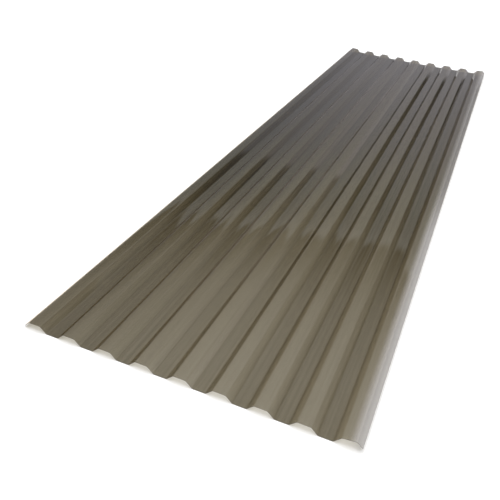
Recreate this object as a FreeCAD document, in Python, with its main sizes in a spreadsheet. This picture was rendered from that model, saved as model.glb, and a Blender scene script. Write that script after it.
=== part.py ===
"""Corrugated polycarbonate roofing sheet, 26 in class, cut 8 ft long (millimetres).

One piece of stock: a thin flat web, extruded and then formed into low trapezoidal waves with
rounded bends, slit to width so that each long edge is a crown with a short down-turned lip,
and cut square to length.

Frame: Y runs along the sheet, X across the waves, Z up. The origin is at the middle of the
sheet's length and width, on the underside of the valleys, which is the plane it lies on.
"""

import FreeCAD
import Part

import math
import os

import Sketcher

# Driving dimensions: alias, value in millimetres (or a count), what it measures.
DIMENSIONS = (
    ("sheet_length", 2438.4, "cut length, 8 ft"),
    ("sheet_width", 656.0, "slit width over the two lips"),
    ("thickness", 0.8, "wall, the same everywhere"),
    ("pitch", 76.2, "crown to crown, 3 in"),
    ("crowns", 9, "crowns across the sheet, the two edge crowns included"),
    ("depth", 13.5, "underside of a valley to the top of a crown"),
    ("crown_flat", 21.8, "flat width on top of a crown, between its bends"),
    ("valley_flat", 22.6, "flat width along a valley, between its bends"),
    ("bend_radius", 3.0, "inner radius of every bend"),
)

START, END = 1, 2   # the two ends of a sketch line or arc
CENTRE = 3          # the centre of a sketch arc
ORIGIN = (-1, 1)    # a sketch's own origin point
H_AXIS = -1         # a sketch's own horizontal axis
V_AXIS = -2         # a sketch's own vertical axis


def make_sheet_of_dimensions(doc):
    """Puts the driving dimensions in a spreadsheet, one named row each."""
    cells = doc.addObject("Spreadsheet::Sheet", "dims")
    for row, (alias, value, meaning) in enumerate(DIMENSIONS, start=1):
        cells.set(f"A{row}", meaning)
        cells.set(f"B{row}", str(value))
        cells.setAlias(f"B{row}", alias)
    doc.recompute()
    return cells


def origin_feature(body, role):
    """The body's own origin plane or axis with that role."""
    return next(item for item in body.Origin.OriginFeatures if item.Role == role)


def section_sketch(body, name):
    """An empty sketch on the body's XZ plane: its axes are the sheet's X and Z."""
    sketch = body.newObject("Sketcher::SketchObject", name)
    sketch.AttachmentSupport = [(origin_feature(body, "XZ_Plane"), "")]
    sketch.MapMode = "FlatFace"
    return sketch


def constrain(sketch, *terms):
    """Adds one geometric constraint."""
    return sketch.addConstraint(Sketcher.Constraint(*terms))


def dimension(sketch, name, formula, *terms):
    """Adds one named dimension and binds it to the spreadsheet."""
    index = sketch.addConstraint(Sketcher.Constraint(*terms))
    sketch.renameConstraint(index, name)
    sketch.setExpression(f"Constraints.{name}", formula)


def line(sketch, x0, z0, x1, z1):
    """Adds a straight edge to a sketch."""
    return sketch.addGeometry(
        Part.LineSegment(FreeCAD.Vector(x0, z0, 0), FreeCAD.Vector(x1, z1, 0)), False
    )


def arc(sketch, centre, radius, start_angle, end_angle):
    """Adds a round bend to a sketch, anticlockwise from one angle to the other."""
    circle = Part.Circle(FreeCAD.Vector(centre[0], centre[1], 0), FreeCAD.Vector(0, 0, 1), radius)
    return sketch.addGeometry(Part.ArcOfCircle(circle, start_angle, end_angle), False)


def slope_angle(dims):
    """The angle of the straight slopes, from the flats, the bends and the depth.

    The slope is the straight line that touches a crown bend and a valley bend, whose centres
    lie on opposite sides of the wall.
    """
    across = (dims.pitch - dims.crown_flat - dims.valley_flat) / 2
    upward = dims.depth - 2 * dims.thickness - 2 * dims.bend_radius
    reach = 2 * dims.bend_radius + dims.thickness
    return math.asin(reach / math.hypot(across, upward)) + math.atan2(upward, across)


def draw_half_wave(sketch, dims):
    """Draws the wall from the middle of a crown to the middle of a valley.

    The upper and lower outlines are the same five pieces, flat, bend, slope, bend and flat,
    one wall thickness apart, closed by a short line at each end.
    """
    wall, inner = dims.thickness, dims.bend_radius
    outer = inner + wall
    half_pitch = dims.pitch / 2
    crown_bend = (dims.crown_flat / 2, dims.depth - outer)
    valley_bend = (half_pitch - dims.valley_flat / 2, outer)
    slope = slope_angle(dims)
    lean = FreeCAD.Vector(math.sin(slope), math.cos(slope), 0)
    up, down = math.pi / 2, 3 * math.pi / 2

    def outline(crown_top, crown_radius, valley_radius):
        """One side of the wall, as its five pieces from the crown to the valley."""
        valley_top = valley_bend[1] - valley_radius
        crown_end = (
            crown_bend[0] + crown_radius * lean.x,
            crown_bend[1] + crown_radius * lean.y,
        )
        valley_start = (
            valley_bend[0] - valley_radius * lean.x,
            valley_bend[1] - valley_radius * lean.y,
        )
        return (
            line(sketch, 0, crown_top, crown_bend[0], crown_top),
            arc(sketch, crown_bend, crown_radius, up - slope, up),
            line(sketch, *crown_end, *valley_start),
            arc(sketch, valley_bend, valley_radius, down - slope, down),
            line(sketch, valley_bend[0], valley_top, half_pitch, valley_top),
        )

    top = outline(dims.depth, outer, inner)
    under = outline(dims.depth - wall, inner, outer)
    valley_cut = line(sketch, half_pitch, wall, half_pitch, 0)
    crown_cut = line(sketch, 0, dims.depth - wall, 0, dims.depth)

    for crown, crown_arc, wall_line, valley_arc, valley in (top, under):
        constrain(sketch, "Tangent", crown, END, crown_arc, END)
        constrain(sketch, "Tangent", crown_arc, START, wall_line, START)
        constrain(sketch, "Tangent", wall_line, END, valley_arc, START)
        constrain(sketch, "Tangent", valley_arc, END, valley, START)
        constrain(sketch, "Horizontal", crown)
        constrain(sketch, "Horizontal", valley)
    for bend in (1, 3):
        constrain(sketch, "Coincident", top[bend], CENTRE, under[bend], CENTRE)
    constrain(sketch, "Coincident", top[4], END, valley_cut, START)
    constrain(sketch, "Coincident", under[4], END, valley_cut, END)
    constrain(sketch, "Coincident", under[0], START, crown_cut, START)
    constrain(sketch, "Coincident", top[0], START, crown_cut, END)
    constrain(sketch, "Vertical", valley_cut)
    constrain(sketch, "Vertical", crown_cut)
    constrain(sketch, "PointOnObject", valley_cut, END, H_AXIS)
    constrain(sketch, "PointOnObject", crown_cut, START, V_AXIS)

    dimension(sketch, "crown_half", "dims.crown_flat / 2", "Distance", top[0], dims.crown_flat / 2)
    dimension(sketch, "valley_half", "dims.valley_flat / 2", "Distance", top[4], dims.valley_flat / 2)
    dimension(sketch, "crown_bend", "dims.bend_radius", "Radius", under[1], inner)
    dimension(sketch, "valley_bend", "dims.bend_radius", "Radius", top[3], inner)
    dimension(sketch, "crown_wall", "dims.thickness", "Distance", crown_cut, wall)
    dimension(sketch, "valley_wall", "dims.thickness", "Distance", valley_cut, wall)
    dimension(
        sketch, "half_pitch", "dims.pitch / 2",
        "DistanceX", crown_cut, END, valley_cut, START, half_pitch,
    )
    dimension(
        sketch, "depth", "dims.depth",
        "DistanceY", valley_cut, END, crown_cut, END, dims.depth,
    )


def draw_edge_trim(sketch, dims):
    """Draws the strip that is slit off one long edge, from the sheet's width outward."""
    near, far = dims.sheet_width / 2, dims.sheet_width / 2 + dims.pitch
    low, high = -dims.depth, 2 * dims.depth
    bottom = line(sketch, near, low, far, low)
    outside = line(sketch, far, low, far, high)
    top = line(sketch, far, high, near, high)
    inside = line(sketch, near, high, near, low)
    for one, other in ((bottom, outside), (outside, top), (top, inside), (inside, bottom)):
        constrain(sketch, "Coincident", one, END, other, START)
    for level in (bottom, top):
        constrain(sketch, "Horizontal", level)
    for upright in (outside, inside):
        constrain(sketch, "Vertical", upright)
    dimension(
        sketch, "half_width", "dims.sheet_width / 2",
        "DistanceX", *ORIGIN, bottom, START, near,
    )
    dimension(sketch, "strip", "dims.pitch", "Distance", bottom, dims.pitch)
    dimension(
        sketch, "below", "dims.depth",
        "DistanceY", bottom, START, *ORIGIN, dims.depth,
    )
    dimension(
        sketch, "above", "2 * dims.depth",
        "DistanceY", *ORIGIN, top, END, 2 * dims.depth,
    )


def make_corrugated_sheet(doc, dims):
    """The sheet: half a wave, drawn out to length, mirrored, repeated and slit to width."""
    body = doc.addObject("PartDesign::Body", "corrugated_sheet")
    body.Label = "corrugated_sheet"

    half_wave = section_sketch(body, "half_wave_section")
    half_wave.setExpression("AttachmentOffset.Base.x", "-dims.pitch * (dims.crowns - 1) / 2")
    draw_half_wave(half_wave, dims)

    wall = body.newObject("PartDesign::Pad", "half_wave")
    wall.Profile = half_wave
    wall.SideType = "Symmetric"
    wall.setExpression("Length", "dims.sheet_length")
    doc.recompute()

    waves = body.newObject("PartDesign::MultiTransform", "waves")
    waves.Originals = [wall]
    other_half = body.newObject("PartDesign::Mirrored", "other_half_of_wave")
    other_half.MirrorPlane = (half_wave, ["V_Axis"])
    repeat = body.newObject("PartDesign::LinearPattern", "repeat_at_pitch")
    repeat.Direction = (origin_feature(body, "X_Axis"), [""])
    repeat.Mode = "Spacing"
    repeat.setExpression("Offset", "dims.pitch")
    repeat.setExpression("Occurrences", "dims.crowns")
    waves.Transformations = [other_half, repeat]
    waves.Refine = True
    body.Tip = waves
    doc.recompute()
    formed_volume = waves.Shape.Volume

    edge_trim = section_sketch(body, "edge_trim_section")
    draw_edge_trim(edge_trim, dims)

    slit = body.newObject("PartDesign::Pocket", "slit_to_width")
    slit.Profile = edge_trim
    slit.SideType = "Symmetric"
    slit.setExpression("Length", "2 * dims.sheet_length")
    doc.recompute()

    both_edges = body.newObject("PartDesign::Mirrored", "slit_both_edges")
    both_edges.Originals = [slit]
    both_edges.MirrorPlane = (origin_feature(body, "YZ_Plane"), [""])
    both_edges.Refine = True
    body.Tip = both_edges
    doc.recompute()

    slit_strips = (formed_volume - slit.Shape.Volume, slit.Shape.Volume - both_edges.Shape.Volume)
    if min(slit_strips) <= 0 or not math.isclose(*slit_strips, rel_tol=1e-6):
        raise RuntimeError(f"the two edges were not slit alike: {slit_strips}")
    for sketch in (half_wave, edge_trim):
        if not sketch.FullyConstrained:
            raise RuntimeError(f"{sketch.Name} is not fully constrained")
    body.Placement = FreeCAD.Placement()
    return body


def check_document(doc):
    """Stops the build if any object of the document failed to recompute."""
    for item in doc.Objects:
        if {"Invalid", "Error"} & set(item.State):
            raise RuntimeError(f"{item.Name} failed: {item.State}")


def check_solid(body, dims):
    """Stops the build unless the sheet is one valid solid of its stated size."""
    shape = body.Shape
    if shape.isNull() or not shape.isValid() or len(shape.Solids) != 1:
        raise RuntimeError(f"{body.Label} is not one valid solid")
    box = shape.BoundBox
    expected = (dims.sheet_width, dims.sheet_length, dims.depth)
    for measured, wanted in zip((box.XLength, box.YLength, box.ZLength), expected):
        if not math.isclose(measured, wanted, abs_tol=0.01):
            raise RuntimeError(f"{body.Label} measures {measured:.3f}, not {wanted:.3f}")


def main():
    """Builds the document, checks it and writes one STEP file for each sub-part."""
    doc = FreeCAD.newDocument("corrugated_sheet")
    dims = make_sheet_of_dimensions(doc)
    sheet = make_corrugated_sheet(doc, dims)
    doc.recompute()
    check_document(doc)
    check_solid(sheet, dims)

    os.makedirs("parts", exist_ok=True)
    sheet.Shape.exportStep(os.path.join("parts", f"{sheet.Label}.step"))
    print(
        f"{sheet.Label}: {len(sheet.Shape.Faces)} faces, {sheet.Shape.Volume / 1000:.1f} cm3,"
        f" slopes at {math.degrees(slope_angle(dims)):.1f} degrees"
    )


main()
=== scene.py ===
"""Looks of a smoke-grey corrugated roofing sheet, lying flat on a pale studio floor.

The sheet is one piece of see-through polycarbonate: extruded flat, formed to nine waves with flat crowns
and valleys, and slit to width on its outer slopes. Everything is in metres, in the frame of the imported
part: +Y runs along the waves, +Z is up, and the origin is in the middle of the sheet, on the floor.
"""

import logging
import math
from dataclasses import dataclass, field
from enum import Enum
from typing import NamedTuple

import bmesh
import bpy
from mathutils import Matrix, Vector


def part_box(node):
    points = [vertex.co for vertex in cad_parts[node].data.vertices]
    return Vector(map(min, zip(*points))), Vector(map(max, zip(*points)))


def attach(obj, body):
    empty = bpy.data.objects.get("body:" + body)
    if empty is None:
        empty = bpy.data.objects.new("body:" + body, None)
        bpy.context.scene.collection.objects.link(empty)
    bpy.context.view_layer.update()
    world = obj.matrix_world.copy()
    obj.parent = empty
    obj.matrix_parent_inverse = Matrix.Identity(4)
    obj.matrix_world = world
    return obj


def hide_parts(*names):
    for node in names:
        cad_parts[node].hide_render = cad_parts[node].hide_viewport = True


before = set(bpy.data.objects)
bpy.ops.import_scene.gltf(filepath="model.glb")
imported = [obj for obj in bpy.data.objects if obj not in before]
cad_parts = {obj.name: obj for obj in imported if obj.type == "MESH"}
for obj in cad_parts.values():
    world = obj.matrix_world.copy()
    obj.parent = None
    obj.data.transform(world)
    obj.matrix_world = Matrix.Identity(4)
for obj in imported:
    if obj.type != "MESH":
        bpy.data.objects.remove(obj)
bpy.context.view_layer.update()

Tree = bpy.types.NodeTree
Node = bpy.types.Node
Socket = bpy.types.NodeSocket

# What can feed an input, a linear colour with its alpha, a place with the value there, and a place with
# the hex colour there.
Feed = Node | Socket | float
Colour = tuple[float, float, float, float]
Share = tuple[float, float]
Shade = tuple[float, str]

SHEET_NODE = "corrugated_sheet"
ROOT_BODY = "root"
MM = 0.001

# Attributes of the sheet's mesh: the place in the wave's height, from zero in the valleys to one on the
# crowns, and how far the face turns to the left, from zero to one.
HEIGHT = "height"
LEFT = "left"

# A low look along the sheet passes many walls before it meets the floor.
CLEAR_BOUNCES = 32

log = logging.getLogger("corrugated_sheet")


# ------------------------------------------------------------------ small tools


class Fade(NamedTuple):
    """A value that changes from one place to another, and stays level past them.

    Attributes:
        start: Place where it starts to change.
        end: Place where it stops.
        first: Value up to the start.
        last: Value from the end on.
    """

    start: float
    end: float
    first: float
    last: float


def srgb(code: str) -> Colour:
    """Turns an sRGB hex colour into the linear colour that the shaders take.

    Args:
        code: Six hex digits, such as "8B8575".

    Returns:
        Linear red, green and blue, and an alpha of one.
    """
    channels = (int(code[i : i + 2], 16) / 255 for i in (0, 2, 4))
    linear = (c / 12.92 if c <= 0.04045 else ((c + 0.055) / 1.055) ** 2.4 for c in channels)
    return (*linear, 1.0)


def add_node(
    tree: Tree, kind: str, inputs: dict | tuple = (), stops: list | tuple = (), **settings: object
) -> Node:
    """Adds one node with its settings, input values and links.

    Args:
        tree: Node tree that gets the node.
        kind: Class name of the node, without its "ShaderNode".
        inputs: What each input gets, in order or by name: a plain value, a socket that feeds it, or a node
            whose first output does.
        stops: For a colour ramp, pairs of place and colour or of place and brightness, in order.
        **settings: Properties of the node itself.

    Returns:
        The new node.
    """
    node = tree.nodes.new("ShaderNode" + kind)
    for name, value in settings.items():
        setattr(node, name, value)
    named = inputs.items() if isinstance(inputs, dict) else enumerate(inputs)
    for name, value in named:
        feed = value.outputs[0] if isinstance(value, Node) else value
        if isinstance(feed, Socket):
            tree.links.new(feed, node.inputs[name])
        else:
            node.inputs[name].default_value = feed
    if stops:
        set_stops(node.color_ramp.elements, stops)
    return node


def set_stops(elements: bpy.types.ColorRampElements, stops: list | tuple) -> None:
    """Gives a new colour ramp its stops.

    Args:
        elements: The ramp's own two stops.
        stops: Pairs of place and colour or of place and brightness, in order.
    """
    colours = [(at, look if isinstance(look, tuple) else (look, look, look, 1.0)) for at, look in stops]
    elements.remove(elements[1])
    elements[0].position, elements[0].color = colours[0]
    for at, colour in colours[1:]:
        elements.new(at).color = colour


def product(tree: Tree, *values: Feed) -> Feed:
    """Multiplies values with each other.

    Args:
        tree: Node tree that gets the nodes.
        *values: What is multiplied.

    Returns:
        The last node, which gives the product.
    """
    result = values[0]
    for value in values[1:]:
        result = add_node(tree, "Math", (result, value), operation="MULTIPLY")
    return result


def empty_material(name: str) -> bpy.types.Material:
    """Makes a material whose node tree is empty.

    Args:
        name: Name of the real material and how it was made.

    Returns:
        The new material.
    """
    material = bpy.data.materials.new(name)
    material.use_nodes = True
    material.node_tree.nodes.clear()
    return material


def add_object(name: str, bm: bmesh.types.BMesh) -> bpy.types.Object:
    """Turns a bmesh into an object of the scene, at the origin.

    Args:
        name: Name of the object and of its mesh.
        bm: The finished bmesh, which is freed.

    Returns:
        The new object.
    """
    mesh = bpy.data.meshes.new(name)
    bm.to_mesh(mesh)
    bm.free()
    made = bpy.data.objects.new(name, mesh)
    bpy.context.scene.collection.objects.link(made)
    return made


# ------------------------------------------------------------------ finishes


@dataclass(frozen=True)
class SmokePolycarbonate:
    """Extruded polycarbonate with a smoke-grey dye, clear right through.

    A dye in the wall and a tint in its skins make what shows through a warm grey. The dye counts by the
    length of the way through the wall, so steep slopes look deeper than flats. The skins' tint is partly
    the smoke's own and partly painted shade, which stands in for light that fades over the sheet: the
    painted shade grows towards the far end and the left edge, differs between crowns, valleys and slopes,
    is a little deeper in the near valleys on the right, and follows the faint lines that the die left.
    The skins came off polished rolls, so they mirror the room sharply. On slopes that face left the
    mirror's colour is a painted reflection, and painted light makes the right lip pale, most of all at its
    near end.

    Places along the sheet run from zero at its near end to one, places across it from minus one at its
    left edge to one, and heights from zero in the valleys to one on the crowns.
    """

    ior: float = 1.586
    roughness: float = 0.03

    # Share of red, green and blue that the dye takes away straight through the wall, and optical depth of
    # one skin where its tint is one.
    dye_depth: tuple[float, float, float] = (0.24, 0.258, 0.306)
    skin_depth: tuple[float, float, float] = (0.375, 0.405, 0.485)

    # The even part of the tint, along the sheet and its share across: the smoke's own, with painted shade
    # that deepens towards the far end and the left edge.
    smoke_and_shade_along: Fade = Fade(0.0, 1.0, 0.6, 1.28)
    left_edge_shade: Fade = Fade(-1.0, 0.0, 1.36, 1.0)

    # Painted shade that crowns and valleys add: by height, and its shares along and across.
    flats: tuple[Share, ...] = ((0.0, 0.76), (0.05, 0.76), (0.15, 0.0), (0.85, 0.0), (0.95, 0.4), (1.0, 0.4))
    flat_shade_along: tuple[Share, ...] = (
        (0.0, 0.35), (0.12, 0.3), (0.22, 0.36), (0.35, 0.62), (0.5, 0.82), (1.0, 1.0),
    )
    flat_shade_across: Fade = Fade(-1.0, 0.3, 1.6, 1.0)

    # Painted shade that the slopes add, in the same way.
    slopes: tuple[Share, ...] = ((0.0, 0.0), (0.03, 0.0), (0.12, 1.0), (0.88, 1.0), (0.97, 0.0), (1.0, 0.0))
    slope_shade_along: tuple[Share, ...] = (
        (0.0, 0.22), (0.18, 0.25), (0.25, 0.42), (0.35, 0.9), (0.5, 0.9), (1.0, 0.7),
    )
    slope_shade_across: Fade = Fade(-1.0, 0.0, 1.6, 0.5)

    # Painted shade that the near valleys on the right add besides.
    valleys: Fade = Fade(0.1, 0.5, 1.0, 0.0)
    valley_shade_along: Fade = Fade(0.35, 0.5, 1.0, 0.0)
    valley_shade_across: Fade = Fade(0.0, 0.5, 0.0, 0.14)

    # The die's lines: usual distance and length, and what they do to the tint and to the mirror, from a
    # light line to a dark one. The finest real ones are left out, because they are too fine to show.
    line_pitch: float = 5 * MM
    line_length: float = 900 * MM
    lines_in_tint: Fade = Fade(0.3, 0.7, 0.7, 1.3)
    lines_in_shine: Fade = Fade(0.3, 0.65, 0.85, 1.0)

    # Painted reflection: the mirror's colour along the sheet on slopes that face left, warm near by and
    # dimmer at the far end.
    painted_reflection: tuple[Shade, ...] = ((0.0, "FFF0D4"), (0.3, "FFF6E4"), (0.88, "FFFCF8"), (0.97, "C2C0C0"))

    # The ripples in crowns and valleys: usual width and length, and their depth.
    ripple_width: float = 18 * MM
    ripple_length: float = 260 * MM
    ripple_depth: float = 0.35 * MM

    # Painted light that makes the right lip pale: its colour, how far inside the right edge it starts and
    # is strongest, and its share along the lip.
    lip_light_colour: str = "DCD9D9"
    lip_light_start: float = 28 * MM
    lip_light_full: float = 2 * MM
    lip_light_along: Fade = Fade(0.275, 0.45, 0.5, 0.28)

    def material(self, half_width: float, half_length: float, wall: float) -> bpy.types.Material:
        """Builds the sheet's material.

        Args:
            half_width: Half the sheet's width.
            half_length: Half the sheet's length.
            wall: Thickness of its wall.

        Returns:
            The new material.
        """
        material = empty_material("smoke polycarbonate, extruded")
        tree = material.node_tree
        place = add_node(tree, "TexCoord").outputs["Object"]
        parts = add_node(tree, "SeparateXYZ", (place,)).outputs
        across = add_node(tree, "MapRange", (parts["X"], -half_width, half_width, -1.0, 1.0))
        along = add_node(tree, "MapRange", (parts["Y"], -half_length, half_length, 0.0, 1.0))
        height = add_node(tree, "Attribute", attribute_name=HEIGHT).outputs["Fac"]
        lines = self.streaks(tree, place, self.line_pitch, self.line_length, detail=3.0)
        inside = add_node(tree, "NewGeometry").outputs["Backfacing"]
        outside = add_node(tree, "Math", (1.0, inside), operation="SUBTRACT")

        # The skins' tint is the smoke's own with painted shade over the sheet.
        passed = self.passed(tree, self.tint(tree, across, along, height, lines))
        clear = add_node(tree, "BsdfTransparent", {"Color": passed})
        # The mirror's colour holds a painted reflection on slopes that face left.
        shown = self.mirrored(tree, along, lines)
        bumps = self.rippled(tree, place, height)
        mirror = add_node(tree, "BsdfGlossy", {"Color": shown, "Roughness": self.roughness, "Normal": bumps})
        # A pale matt layer on the right lip is painted light.
        pale_lip = add_node(tree, "BsdfDiffuse", {"Color": srgb(self.lip_light_colour)})
        shine = product(tree, add_node(tree, "Fresnel", {"IOR": self.ior}), outside)
        lip_light_share = product(tree, self.lip_light(tree, parts["X"], along, half_width), outside)
        glossy = add_node(tree, "MixShader", (shine, clear, mirror))
        skin = add_node(tree, "MixShader", (lip_light_share, glossy, pale_lip))
        left_over = (*(1 - depth for depth in self.dye_depth), 1.0)
        dye = add_node(tree, "VolumeAbsorption", {"Density": 1 / wall, "Color": left_over})
        add_node(tree, "OutputMaterial", {"Surface": skin, "Volume": dye})
        return material

    def streaks(self, tree: Tree, place: Feed, width: float, length: float, detail: float) -> Node:
        """Adds noise that is drawn out along the sheet.

        Args:
            tree: Node tree of the material.
            place: Object coordinates.
            width: Usual width of a streak.
            length: Usual length of one.
            detail: How many finer layers it has.

        Returns:
            The node that gives the noise, about half on average.
        """
        drawn = add_node(tree, "Mapping", {"Vector": place, "Scale": (1 / width, 1 / length, 0.0)})
        noise = {"Vector": drawn, "Scale": 1.0, "Detail": detail}
        return add_node(tree, "TexNoise", noise, noise_dimensions="2D")

    def tint(self, tree: Tree, across: Feed, along: Feed, height: Feed, lines: Feed) -> Node:
        """Adds one skin's tint: the smoke's own with painted shade along, across and by the wave.

        Args:
            tree: Node tree of the material.
            across: Place across the sheet, from minus one to one.
            along: Place along the sheet, from zero to one.
            height: Height in the wave, from zero to one.
            lines: The die's lines, which make the parts of flats and slopes uneven.

        Returns:
            The node that gives the tint.
        """
        even = product(
            tree, add_node(tree, "MapRange", (along, *self.smoke_and_shade_along)),
            add_node(tree, "MapRange", (across, *self.left_edge_shade)),
        )
        flat = product(
            tree, add_node(tree, "ValToRGB", (height,), self.flats),
            add_node(tree, "ValToRGB", (along,), self.flat_shade_along),
            add_node(tree, "MapRange", (across, *self.flat_shade_across)),
        )
        steep = product(
            tree, add_node(tree, "ValToRGB", (height,), self.slopes),
            add_node(tree, "ValToRGB", (along,), self.slope_shade_along),
            add_node(tree, "MapRange", (across, *self.slope_shade_across)),
        )
        low = product(
            tree, add_node(tree, "MapRange", (height, *self.valleys)),
            add_node(tree, "MapRange", (along, *self.valley_shade_along)),
            add_node(tree, "MapRange", (across, *self.valley_shade_across)),
        )
        both = add_node(tree, "Math", (flat, steep), operation="ADD")
        uneven = add_node(tree, "MapRange", (lines, *self.lines_in_tint))
        level = add_node(tree, "Math", (even, low), operation="ADD")
        return add_node(tree, "Math", (both, uneven, level), operation="MULTIPLY_ADD")

    def passed(self, tree: Tree, tint: Feed) -> Node:
        """Adds the colour that one skin lets through.

        Args:
            tree: Node tree of the material.
            tint: The skin's tint, the smoke's own with painted shade.

        Returns:
            The node that gives the colour.
        """
        depths = [add_node(tree, "Math", (tint, -depth), operation="MULTIPLY") for depth in self.skin_depth]
        shares = tuple(add_node(tree, "Math", (depth,), operation="EXPONENT") for depth in depths)
        return add_node(tree, "CombineXYZ", shares)

    def mirrored(self, tree: Tree, along: Feed, lines: Feed) -> Node:
        """Adds the colour of the skin's mirror, with a painted reflection colour on the slopes that face
        left.

        Args:
            tree: Node tree of the material.
            along: Place along the sheet, from zero to one.
            lines: The die's lines.

        Returns:
            The node that gives the colour.
        """
        left = add_node(tree, "Attribute", attribute_name=LEFT).outputs["Fac"]
        # A painted reflection colour, warm near by and dimmer at the far end.
        painted_reflection = add_node(tree, "ValToRGB", (along,), [(at, srgb(code)) for at, code in self.painted_reflection])
        # The colours of a Mix node are its inputs 6 and 7, and the mixed one is its output 2.
        toned = add_node(tree, "Mix", {0: left, 6: srgb("FFFFFF"), 7: painted_reflection}, data_type="RGBA").outputs[2]
        shade = add_node(tree, "MapRange", (lines, *self.lines_in_shine))
        return add_node(tree, "VectorMath", {0: toned, "Scale": shade}, operation="SCALE")

    def rippled(self, tree: Tree, place: Feed, height: Feed) -> Node:
        """Adds the faint ripples that the cooling sheet drew along its flats.

        Args:
            tree: Node tree of the material.
            place: Object coordinates.
            height: Height in the wave, from zero to one.

        Returns:
            The node that gives the rippled normal.
        """
        ripples = self.streaks(tree, place, self.ripple_width, self.ripple_length, detail=0.0)
        level = add_node(tree, "ValToRGB", (height,), [(at, 1 - share) for at, share in self.slopes])
        return add_node(tree, "Bump", {"Height": ripples, "Distance": self.ripple_depth, "Strength": level})

    def lip_light(self, tree: Tree, x: Feed, along: Feed, half_width: float) -> Node:
        """Adds the share of painted light, which whitens the right lip and most of all its near end.

        Args:
            tree: Node tree of the material.
            x: X of the object coordinates.
            along: Place along the sheet, from zero to one.
            half_width: Half the sheet's width.

        Returns:
            The node that gives the share.
        """
        start, full = half_width - self.lip_light_start, half_width - self.lip_light_full
        near_right_edge = add_node(tree, "MapRange", (x, start, full, 0.0, 1.0), interpolation_type="SMOOTHSTEP")
        share = add_node(tree, "MapRange", (along, *self.lip_light_along), interpolation_type="SMOOTHSTEP")
        return product(tree, near_right_edge, share)


@dataclass(frozen=True)
class SawnPolycarbonate:
    """The same sheet where a fine saw cut it: matt, and dark, because light gets lost along the wall."""

    colour: str = "4A473D"
    pale_gain: float = 1.5
    ior: float = SmokePolycarbonate.ior
    roughness: float = 0.5
    tooth_pitch: float = 1.5 * MM
    tooth_depth: float = 0.05 * MM

    def material(self) -> bpy.types.Material:
        """Builds the cut edges' material, whose colour is paler where the teeth tore it.

        Returns:
            The new material.
        """
        material = empty_material("smoke polycarbonate, sawn")
        tree = material.node_tree
        place = add_node(tree, "TexCoord").outputs["Object"]
        teeth = add_node(tree, "TexNoise", {"Vector": place, "Scale": 1 / self.tooth_pitch, "Detail": 2.0})
        bump = add_node(tree, "Bump", {"Height": teeth, "Distance": self.tooth_depth, "Strength": 1.0})
        dark = srgb(self.colour)
        pale = (*(min(1.0, self.pale_gain * part) for part in dark[:3]), 1.0)
        tone = add_node(tree, "ValToRGB", (teeth,), [(0.0, dark), (1.0, pale)])
        edge = add_node(
            tree, "BsdfPrincipled",
            {"Base Color": tone, "Roughness": self.roughness, "IOR": self.ior, "Normal": bump},
        )
        add_node(tree, "OutputMaterial", {"Surface": edge})
        return material


@dataclass(frozen=True)
class PaintedFloor:
    """Matt white floor paint: pale and even, with no gloss, so that it only shows the sheet's shadow.

    Its fill light grows with the distance from the sheet, where the panel no longer reaches.
    """

    colour: str = "F7F7F7"
    fill: Fade = Fade(2.5, 9.0, 0.06, 1.0)

    def material(self) -> bpy.types.Material:
        """Builds the floor's material, whose fill light is seen but lights nothing.

        Returns:
            The new material.
        """
        material = empty_material("matt white floor paint")
        tree = material.node_tree
        paint = add_node(tree, "BsdfDiffuse", {"Color": srgb(self.colour)})
        path = add_node(tree, "LightPath").outputs
        seen = add_node(tree, "Math", (path["Is Camera Ray"], path["Is Glossy Ray"]), operation="MAXIMUM")
        seen = add_node(tree, "Math", (seen, path["Is Transmission Ray"]), operation="MAXIMUM")
        place = add_node(tree, "TexCoord").outputs["Object"]
        distance = add_node(tree, "VectorMath", (place,), operation="LENGTH").outputs["Value"]
        fill = add_node(tree, "MapRange", (distance, *self.fill), interpolation_type="SMOOTHSTEP")
        glow = add_node(tree, "Emission", {"Color": srgb("FFFFFF"), "Strength": product(tree, seen, fill)})
        both = add_node(tree, "AddShader", (paint, glow))
        add_node(tree, "OutputMaterial", {"Surface": both})
        return material


# ------------------------------------------------------------------ the sheet


class Side(Enum):
    """The two long edges of the sheet, by the sign of their X."""

    LEFT = -1
    RIGHT = 1


@dataclass(frozen=True)
class WaveSection:
    """The wave that the sheet is formed to, measured like the solid's section."""

    depth: float
    pitch: float = 76.2 * MM
    crowns: int = 9
    thickness: float = 0.8 * MM
    crown_flat: float = 21.8 * MM
    valley_flat: float = 22.6 * MM
    bend_radius: float = 3.0 * MM
    bends_per_wave: int = 4

    @property
    def middle_radius(self) -> float:
        """Bend radius of the sheet's middle surface."""
        return self.bend_radius + self.thickness / 2

    @property
    def rise(self) -> float:
        """Height of the middle surface's crowns over its valleys."""
        return self.depth - self.thickness

    @property
    def slope_angle(self) -> float:
        """Angle of the straight slopes, which run tangent from bend to bend.

        Returns:
            The angle over the floor, in radians.
        """
        across = (self.pitch - self.crown_flat - self.valley_flat) / 2
        reach = 2 * self.middle_radius
        upward = self.rise - reach
        return math.asin(reach / math.hypot(across, upward)) + math.atan2(upward, across)

    @property
    def bend_offset(self) -> float:
        """Distance from a sharp corner of the middle surface to where its bend starts."""
        return self.middle_radius * math.tan(self.slope_angle / 2)

    def corners(self) -> list[Vector]:
        """Sharp corners of one wave's middle surface, from valley to valley.

        Returns:
            Six points in the XZ plane, with the crown over X = 0.
        """
        low = self.thickness / 2
        crown = self.crown_flat / 2 + self.bend_offset
        half = self.pitch / 2
        foot = half - self.valley_flat / 2 - self.bend_offset
        outline = [(-half, 0), (-foot, 0), (-crown, 1), (crown, 1), (foot, 0), (half, 0)]
        return [Vector((x, 0, low + up * self.rise)) for x, up in outline]

    def fold(self, x: float) -> int:
        """Numbers the bend that a place across the sheet belongs to."""
        return math.floor(x / self.pitch * self.bends_per_wave)


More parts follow.
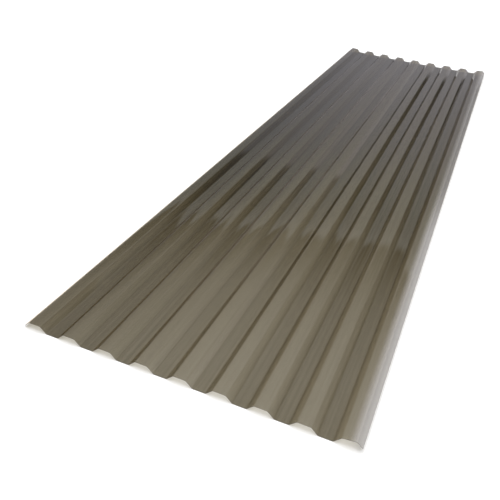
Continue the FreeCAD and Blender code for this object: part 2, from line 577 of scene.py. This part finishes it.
@dataclass(frozen=True)
class RestShape:
    """How the limp sheet eases out of its ideal shape on the floor, in a few millimetres.

    The far end bows up towards its two corners, the right lip springs up, and each crown and valley
    undulates a little along its length, as sheets do once they have been rolled or stacked.

    Attributes:
        half_width: Half the sheet's width.
        half_length: Half the sheet's length.
        far_bow: Rise of the far corners.
        near_spring: Rise of the right lip over the width of spring_run, at the near end.
        far_spring: The same at the far end.
        spring_from: X from which the lip springs up.
        spring_run: Width over which the two rises are measured. The lip is a little wider.
        undulation: Depth of the long undulation.
        long_wave: Length of the long undulation.
        long_shift: How far it shifts from bend to bend, in radians.
        short_wave: Length of the short undulation.
        short_shift: How far that one shifts, growing with the square of the bend's number.
        short_share: Its depth as a share of the long one's.
    """

    half_width: float
    half_length: float
    far_bow: float = 6.0 * MM
    near_spring: float = 5.0 * MM
    far_spring: float = 3.0 * MM
    spring_from: float = 279.5 * MM
    spring_run: float = 40.0 * MM
    undulation: float = 0.06 * MM
    long_wave: float = 1.1
    long_shift: float = 2.3
    short_wave: float = 0.47
    short_shift: float = 1.1
    short_share: float = 0.6

    def lift(self, at: Vector, fold: int) -> float:
        """Works out how far one point rises over its ideal place.

        Args:
            at: The point's ideal place.
            fold: Number of the bend that it belongs to.

        Returns:
            The rise along Z, which is never below zero.
        """
        along = (at.y / self.half_length + 1) / 2
        bow = self.far_bow * along * (at.x / self.half_width) ** 2
        spring = self.near_spring * (1 - along) + self.far_spring * along
        lip = spring * max(0.0, at.x - self.spring_from) / self.spring_run
        turn = 2 * math.pi * at.y
        slow = math.sin(turn / self.long_wave + self.long_shift * fold)
        quick = math.sin(turn / self.short_wave + self.short_shift * fold * fold)
        waves = 1 + self.short_share + slow + self.short_share * quick
        return bow + lip + self.undulation * waves


@dataclass
class CorrugatedSheet:
    """The formed sheet: its section, its place, its rest shape and its finish.

    Attributes:
        section: The wave.
        low: Low corner of the solid's box.
        high: High corner of the solid's box.
        rest: How the sheet lies.
        finish: Finish of its skins and wall.
        edges: Finish of its cut edges.
        bend_segments: Faces round each bend.
        cuts: Cuts across the sheet, which let it bow.
        weld: Distance under which two points are one.
        crease_angle: Least angle of a bend, in radians.
        rim_radius: Radius of the eased cut edges.
        rim_angle: Least angle that is eased, in degrees.
        left_gain: How fast a face counts as turned to the left. A straight slope counts in full.
    """

    section: WaveSection
    low: Vector
    high: Vector
    rest: RestShape
    finish: SmokePolycarbonate = field(default_factory=SmokePolycarbonate)
    edges: SawnPolycarbonate = field(default_factory=SawnPolycarbonate)
    bend_segments: int = 5
    cuts: int = 139
    weld: float = 0.01 * MM
    crease_angle: float = 0.1
    rim_radius: float = 0.12 * MM
    rim_angle: float = 60.0
    left_gain: float = 1.6

    def build(self) -> bpy.types.Object:
        """Makes the sheet, dresses it and gives it its place in the frame.

        Returns:
            The finished piece.
        """
        bm = bmesh.new()
        self.run_waves(bm)
        self.draw_out(bm)
        self.round_bends(bm)
        for side in Side:
            self.slit(bm, side)
        self.divide(bm)
        self.settle(bm)
        sheet = add_object("roofing_sheet", bm)
        sheet.data.shade_smooth()
        self.thicken(sheet)
        rest, wall = self.rest, self.section.thickness
        sheet.data.materials.append(self.finish.material(rest.half_width, rest.half_length, wall))
        sheet.data.materials.append(self.edges.material())
        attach(sheet, ROOT_BODY)
        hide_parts(SHEET_NODE)
        return sheet

    def run_waves(self, bm: bmesh.types.BMesh) -> None:
        """Draws one wave's outline and repeats it across the sheet.

        Args:
            bm: The empty mesh.
        """
        section = self.section
        start = Vector((-(section.crowns - 1) / 2 * section.pitch, self.low.y, self.low.z))
        points = [bm.verts.new(start + corner) for corner in section.corners()]
        lines = [bm.edges.new(pair) for pair in zip(points, points[1:])]
        bmesh.ops.spin(
            bm, geom=points + lines, cent=(0, 0, 0), axis=(0, 0, 1), dvec=(section.pitch, 0, 0),
            angle=0, steps=section.crowns - 1, use_duplicate=True,
        )
        bmesh.ops.remove_doubles(bm, verts=bm.verts, dist=self.weld)

    def draw_out(self, bm: bmesh.types.BMesh) -> None:
        """Extrudes the outline along the waves, to the sheet's whole length.

        Args:
            bm: The outline, at the near end.
        """
        made = bmesh.ops.extrude_edge_only(bm, edges=bm.edges[:])
        far = [item for item in made["geom"] if isinstance(item, bmesh.types.BMVert)]
        bmesh.ops.translate(bm, verts=far, vec=(0, self.high.y - self.low.y, 0))

    def long_edges(self, bm: bmesh.types.BMesh) -> list[bmesh.types.BMEdge]:
        """The edges that run along the waves."""
        half = (self.high.y - self.low.y) / 2
        return [e for e in bm.edges if abs(e.verts[0].co.y - e.verts[1].co.y) > half]

    def round_bends(self, bm: bmesh.types.BMesh) -> None:
        """Rounds every bend to its radius.

        Args:
            bm: The sheet with sharp bends.
        """
        inner = [e for e in self.long_edges(bm) if len(e.link_faces) == 2]
        creases = [e for e in inner if e.calc_face_angle() > self.crease_angle]
        bmesh.ops.bevel(
            bm, geom=creases, offset=self.section.bend_offset, offset_type="OFFSET", affect="EDGES",
            segments=self.bend_segments, profile=0.5, material=-1,
        )

    def slit(self, bm: bmesh.types.BMesh, side: Side) -> None:
        """Cuts the sheet to width on its outer slope.

        Args:
            bm: The formed sheet.
            side: The long edge to cut.
        """
        edge = self.high.x if side is Side.RIGHT else self.low.x
        bmesh.ops.bisect_plane(
            bm, geom=bm.verts[:] + bm.edges[:] + bm.faces[:], plane_co=(edge, 0, 0),
            plane_no=(side.value, 0, 0), clear_outer=True,
        )

    def divide(self, bm: bmesh.types.BMesh) -> None:
        """Divides the sheet along its length and turns its faces up.

        Args:
            bm: The sheet, cut to width.
        """
        bmesh.ops.subdivide_edges(bm, edges=self.long_edges(bm), cuts=self.cuts, use_grid_fill=True)
        bmesh.ops.recalc_face_normals(bm, faces=bm.faces)
        if sum(face.normal.z for face in bm.faces) < 0:
            bmesh.ops.reverse_faces(bm, faces=bm.faces)
        bm.normal_update()

    def settle(self, bm: bmesh.types.BMesh) -> None:
        """Notes each point's place in the wave and eases the sheet into its rest shape.

        Args:
            bm: The divided sheet.
        """
        bottom = self.low.z + self.section.thickness / 2
        height = bm.verts.layers.float.new(HEIGHT)
        left = bm.verts.layers.float.new(LEFT)
        for vert in bm.verts:
            vert[left] = min(1.0, max(0.0, -self.left_gain * vert.normal.x))
            vert[height] = (vert.co.z - bottom) / self.section.rise
            vert.co.z += self.rest.lift(vert.co, self.section.fold(vert.co.x))

    def thicken(self, sheet: bpy.types.Object) -> None:
        """Gives the middle surface its wall and eases the cut edges.

        Args:
            sheet: The piece, still without a wall.
        """
        wall = sheet.modifiers.new("wall", "SOLIDIFY")
        wall.thickness = self.section.thickness
        wall.offset = 0
        wall.use_even_offset = True
        wall.material_offset_rim = 1
        rim = sheet.modifiers.new("rim", "BEVEL")
        rim.width = self.rim_radius
        rim.segments = 2
        rim.limit_method = "ANGLE"
        rim.angle_limit = math.radians(self.rim_angle)
        even = sheet.modifiers.new("even", "WEIGHTED_NORMAL")
        even.keep_sharp = True


# ------------------------------------------------------------------ the studio


@dataclass
class StudioFloor:
    """The level floor that the sheet lies on, a hair under it."""

    level: float
    gap: float = 0.2 * MM
    half: float = 40.0
    finish: PaintedFloor = field(default_factory=PaintedFloor)

    def build(self) -> bpy.types.Object:
        """Makes the floor.

        Returns:
            The floor.
        """
        bm = bmesh.new()
        bmesh.ops.create_grid(bm, x_segments=1, y_segments=1, size=self.half)
        bmesh.ops.translate(bm, verts=bm.verts, vec=(0, 0, self.level - self.gap))
        floor = add_object("studio_floor", bm)
        floor.data.materials.append(self.finish.material())
        return floor


@dataclass
class StudioLight:
    """One wide, soft ceiling panel over the floor, which the sheet doesn't mirror."""

    size: float = 7.0
    height: float = 6.0
    power: float = 450.0

    def build(self) -> bpy.types.Object:
        """Hangs the panel over the sheet.

        Returns:
            The panel.
        """
        lamp = bpy.data.lights.new("ceiling_panel", "AREA")
        lamp.shape = "SQUARE"
        lamp.size = self.size
        lamp.energy = self.power
        panel = bpy.data.objects.new("ceiling_panel", lamp)
        panel.location = (0, 0, self.height)
        panel.visible_glossy = False
        bpy.context.scene.collection.objects.link(panel)
        return panel


@dataclass
class StudioRoom:
    """The room round the floor, which the sheet mirrors: pale walls, a dark band and a pale ceiling.

    A dark bay stands to the right, and a low dark screen runs along the right side up to the far wall.
    Angles are in degrees.

    Attributes:
        wall: Colour of the walls, the band above them and the ceiling, by elevation.
        bay: Share of that light that the bay leaves, by the heading from +Y towards +X.
        backdrop: What the camera sees behind the floor.
        screen_rise: How high the screen stands, seen from the sheet's middle.
        screen_end: Heading of its far end.
        screen_soft: Width of its soft edges.
        screen_light: Share of the light that it leaves.
    """

    wall: tuple[Shade, ...] = (
        (10.0, "D7D4D9"), (17.0, "C6C4C9"), (21.0, "C1C1C5"), (26.0, "BBBFBD"), (28.0, "AEB2B2"),
        (29.0, "AEB2B2"), (29.7, "C1C5C5"), (30.15, "C1C5C5"), (30.35, "0D0D0D"), (32.5, "505050"),
        (36.0, "999999"), (43.0, "C8C8C8"), (60.0, "B3B3B3"),
    )
    bay: tuple[Share, ...] = (
        (24.4, 1.0), (24.8, 0.35), (28.0, 0.2), (30.0, 0.05), (32.0, 0.1), (36.0, 0.5), (46.0, 1.0),
    )
    backdrop: str = "FFFFFF"
    screen_rise: float = 22.6
    screen_end: float = 14.9
    screen_soft: float = 0.8
    screen_light: float = 0.1

    def build(self) -> bpy.types.World:
        """Paints the room as a world.

        Returns:
            The world.
        """
        world = bpy.data.worlds.new("studio_room")
        world.use_nodes = True
        tree = world.node_tree
        tree.nodes.clear()
        way = add_node(tree, "SeparateXYZ", (add_node(tree, "TexCoord").outputs["Generated"],)).outputs
        heading = add_node(tree, "Math", (way["X"], way["Y"]), operation="ARCTAN2")
        light = product(tree, self.bay_light(tree, heading), self.screen_share(tree, way, heading))
        room = add_node(tree, "Background", (self.wall_colour(tree, way["Z"]), light))
        backdrop = add_node(tree, "Background", (srgb(self.backdrop), 1.0))
        path = add_node(tree, "LightPath").outputs
        rays = (path["Is Camera Ray"], path["Is Transmission Ray"])
        seen = add_node(tree, "Math", rays, operation="MAXIMUM")
        add_node(tree, "OutputWorld", {"Surface": add_node(tree, "MixShader", (seen, room, backdrop))})
        bpy.context.scene.world = world
        return world

    def by_angle(self, tree: Tree, angle: Feed, stops: list[tuple[float, Colour | float]]) -> Node:
        """Adds a colour or a brightness that changes with an angle of up to a quarter turn.

        Args:
            tree: Node tree of the world.
            angle: The angle, in radians.
            stops: Pairs of angle in degrees and colour or brightness, in order.

        Returns:
            The node that gives the colour.
        """
        part = add_node(tree, "Math", (angle, math.pi / 2), operation="DIVIDE")
        return add_node(tree, "ValToRGB", (part,), [(degrees / 90, look) for degrees, look in stops])

    def wall_colour(self, tree: Tree, up: Feed) -> Node:
        """Adds the wall's colour by its elevation.

        Args:
            tree: Node tree of the world.
            up: Z of the direction.

        Returns:
            The node that gives the colour.
        """
        rise = add_node(tree, "Math", (up,), operation="ARCSINE")
        return self.by_angle(tree, rise, [(degrees, srgb(code)) for degrees, code in self.wall])

    def bay_light(self, tree: Tree, heading: Feed) -> Node:
        """Adds the share of the light that the bay leaves in a direction.

        Args:
            tree: Node tree of the world.
            heading: Heading of the direction, from +Y towards +X.

        Returns:
            The node that gives the share.
        """
        return self.by_angle(tree, heading, list(self.bay))

    def screen_share(self, tree: Tree, way: bpy.types.bpy_prop_collection, heading: Feed) -> Node:
        """Adds the share of the light that the low screen leaves in a direction: all of it past its edges.

        Args:
            tree: Node tree of the world.
            way: X, Y and Z of the direction.
            heading: Heading of the direction, from +Y towards +X.

        Returns:
            The node that gives the share.
        """
        top = math.radians(self.screen_rise)
        end = math.radians(self.screen_end)
        soft = math.radians(self.screen_soft)
        rise = add_node(tree, "Math", (way["Z"], way["X"]), operation="ARCTAN2")
        over = add_node(tree, "MapRange", (rise, top, top + soft, self.screen_light, 1.0))
        beyond = add_node(tree, "MapRange", (heading, end - soft, end, 1.0, self.screen_light))
        return add_node(tree, "Math", (over, beyond), operation="MAXIMUM")


@dataclass
class Viewpoint:
    """The camera, above the sheet's near right corner and looking along it.

    It looks along +Y, turned to the left by heading, down by dip and round its own axis by roll, in degrees.
    """

    place: Vector
    heading: float
    dip: float
    roll: float
    lens: float
    sensor: float = 36.0

    def build(self) -> bpy.types.Object:
        """Sets the camera up and makes it the scene's own.

        Returns:
            The camera.
        """
        data = bpy.data.cameras.new("camera")
        data.lens = self.lens
        data.sensor_width = self.sensor
        camera = bpy.data.objects.new("camera", data)
        camera.matrix_world = (
            Matrix.Translation(self.place)
            @ Matrix.Rotation(math.radians(self.heading), 4, "Z")
            @ Matrix.Rotation(math.radians(90 - self.dip), 4, "X")
            @ Matrix.Rotation(math.radians(self.roll), 4, "Z")
        )
        bpy.context.scene.collection.objects.link(camera)
        bpy.context.scene.camera = camera
        return camera


def main() -> None:
    """Builds the sheet, the studio and the camera, and reports each piece."""
    logging.basicConfig(level=logging.INFO, format="%(name)s: %(message)s")
    low, high = (Vector(corner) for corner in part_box(SHEET_NODE))
    section = WaveSection(depth=high.z - low.z)
    rest = RestShape(half_width=(high.x - low.x) / 2, half_length=(high.y - low.y) / 2)
    sheet = CorrugatedSheet(section, low, high, rest).build()
    log.info("sheet: %s, %d faces before its wall", sheet.name, len(sheet.data.polygons))
    floor = StudioFloor(level=low.z).build()
    log.info("floor: %s", floor.name)
    panel = StudioLight().build()
    log.info("light: %s", panel.name)
    room = StudioRoom().build()
    log.info("room: %s", room.name)
    camera = Viewpoint(
        place=Vector((352.0, -1911.5, 779.5)) * MM, heading=19.53, dip=32.46, roll=5.61, lens=44.18,
    ).build()
    log.info("camera: %s", camera.name)

    scene = bpy.context.scene
    scene.view_settings.view_transform = "Standard"
    scene.cycles.transparent_max_bounces = CLEAR_BOUNCES


if __name__ == "__main__":
    main()
